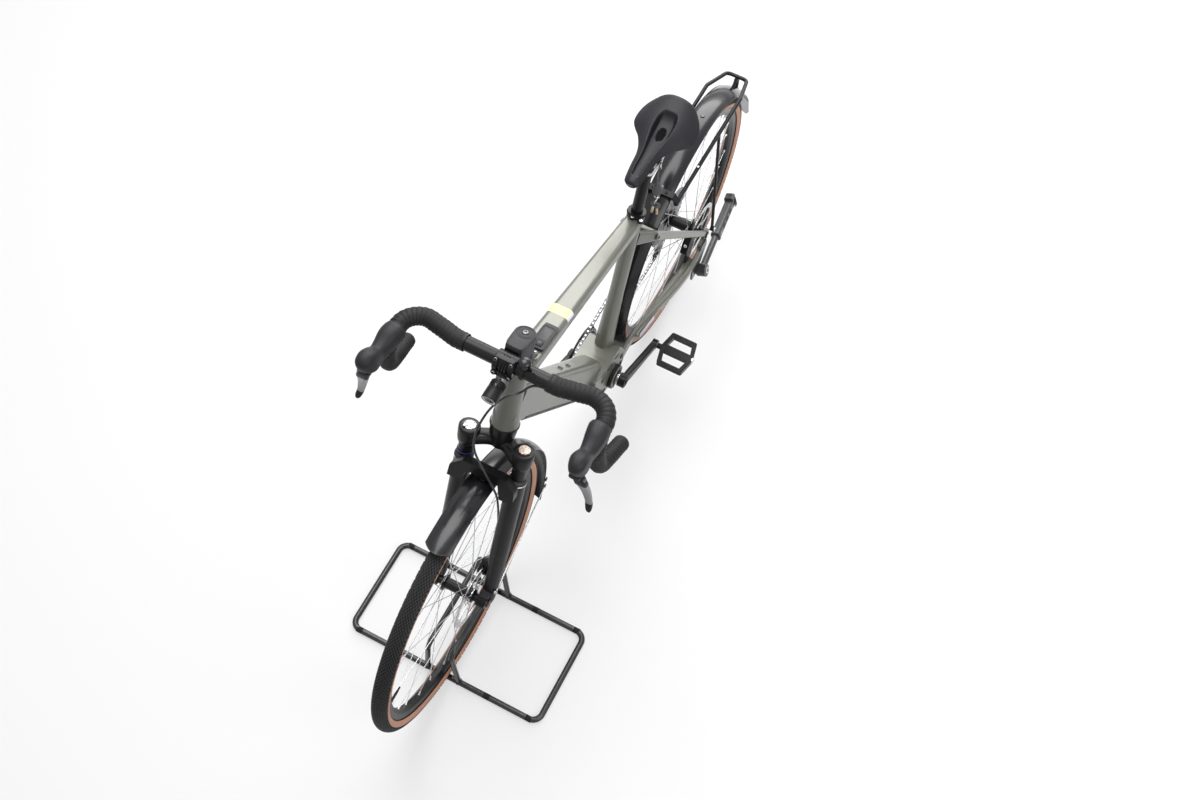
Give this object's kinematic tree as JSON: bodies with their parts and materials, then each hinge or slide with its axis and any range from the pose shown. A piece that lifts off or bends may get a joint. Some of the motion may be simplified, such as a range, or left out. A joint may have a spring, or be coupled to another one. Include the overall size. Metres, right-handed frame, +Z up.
{
  "type": "electric gravel bicycle",
  "caption": "Drop-bar electric gravel bicycle with suspension fork, mid motor, mudguards, rear carrier and kickstand, its front wheel held in a low tubular display stand.",
  "frame": {"origin": "middle of the bicycle's length and width, on the floor", "axes": "+X forward along the wheelbase, +Y to the rider's left, +Z up"},
  "size_m": [1.8463, 0.533, 1.0647],
  "materials": {
    "frame_paint": "satin",
    "black_metal": "satin",
    "alloy": "brushed",
    "steel": "brushed",
    "tyre_rubber": "matte",
    "rubber": "matte",
    "black_plastic": "matte",
    "saddle_cover": "matte",
    "bar_tape": "matte",
    "stand_paint": "satin"
  },
  "bodies": {
    "front_end": {"fork_crown": "black_metal", "fork_stanchions": "black_metal", "fork_lowers": "black_metal", "front_axle": "steel", "stem": "black_metal", "stem_cover": "black_plastic", "handlebar": "black_metal", "bar_tape_left": "bar_tape", "bar_tape_right": "bar_tape", "brake_hood_left": "rubber", "brake_hood_right": "rubber", "brake_lever_left": "alloy", "brake_lever_right": "alloy", "headlight": "black_plastic", "bell": "black_plastic", "front_mudguard": "black_plastic", "front_mudguard_stays": "steel", "front_brake_caliper": "black_metal", "front_brake_hose": "rubber", "display_stand": "stand_paint"},
    "front_wheel": {"front_tyre": "tyre_rubber", "front_rim": "black_metal", "front_hub": "black_metal", "front_spokes": "steel", "front_brake_disc": "steel"},
    "frame": {"main_frame": "frame_paint", "motor": "black_plastic", "chain_stays": "frame_paint", "seat_stays": "frame_paint", "seat_collar": "black_metal", "seatpost": "black_metal", "saddle_rails": "steel", "saddle": "saddle_cover", "rear_mudguard": "black_plastic", "rear_mudguard_flap": "black_plastic", "carrier": "black_metal", "rear_axle": "steel", "rear_brake_caliper": "black_metal", "chain": "steel", "rear_derailleur": "black_metal", "kickstand_mount": "black_metal", "control_module": "black_plastic"},
    "rear_wheel": {"rear_tyre": "tyre_rubber", "rear_rim": "black_metal", "rear_hub": "black_metal", "rear_spokes": "steel", "rear_brake_disc": "steel", "cassette": "steel"},
    "crank": {"crank_spindle": "steel", "crank_arm_left": "black_metal", "crank_arm_right": "black_metal", "chainring": "steel", "chain_guard": "black_metal"},
    "pedal_left": {"pedal_left": "black_metal"},
    "pedal_right": {"pedal_right": "black_metal"},
    "kickstand": {"kickstand": "black_metal"}
  },
  "joints": [
    {"name": "steering", "type": "hinge", "parent": "front_end", "child": "frame", "pos_m": [0.52322, 0, 0.3323], "axis": [-0.3649, 0, 0.9311], "range_deg": [-50, 50]},
    {"name": "front_wheel_spin", "type": "hinge", "parent": "front_end", "child": "front_wheel", "pos_m": [0.5735, 0, 0.352], "axis": [0, 1, 0], "continuous": true},
    {"name": "rear_wheel_spin", "type": "hinge", "parent": "frame", "child": "rear_wheel", "pos_m": [-0.5565, 0, 0.352], "axis": [0, 1, 0], "continuous": true},
    {"name": "crank_spin", "type": "hinge", "parent": "frame", "child": "crank", "pos_m": [-0.1105, 0, 0.284], "axis": [0, 1, 0], "continuous": true},
    {"name": "pedal_left_spin", "type": "hinge", "parent": "crank", "child": "pedal_left", "pos_m": [-0.273, 0, 0.22613], "axis": [0, 1, 0], "continuous": true},
    {"name": "pedal_right_spin", "type": "hinge", "parent": "crank", "child": "pedal_right", "pos_m": [0.052, 0, 0.34187], "axis": [0, 1, 0], "continuous": true},
    {"name": "kickstand_swing", "type": "hinge", "parent": "frame", "child": "kickstand", "pos_m": [-0.5115, 0.1, 0.262], "axis": [0.1466, -0.9296, -0.3382], "range_deg": [0, 94]}
  ]
}
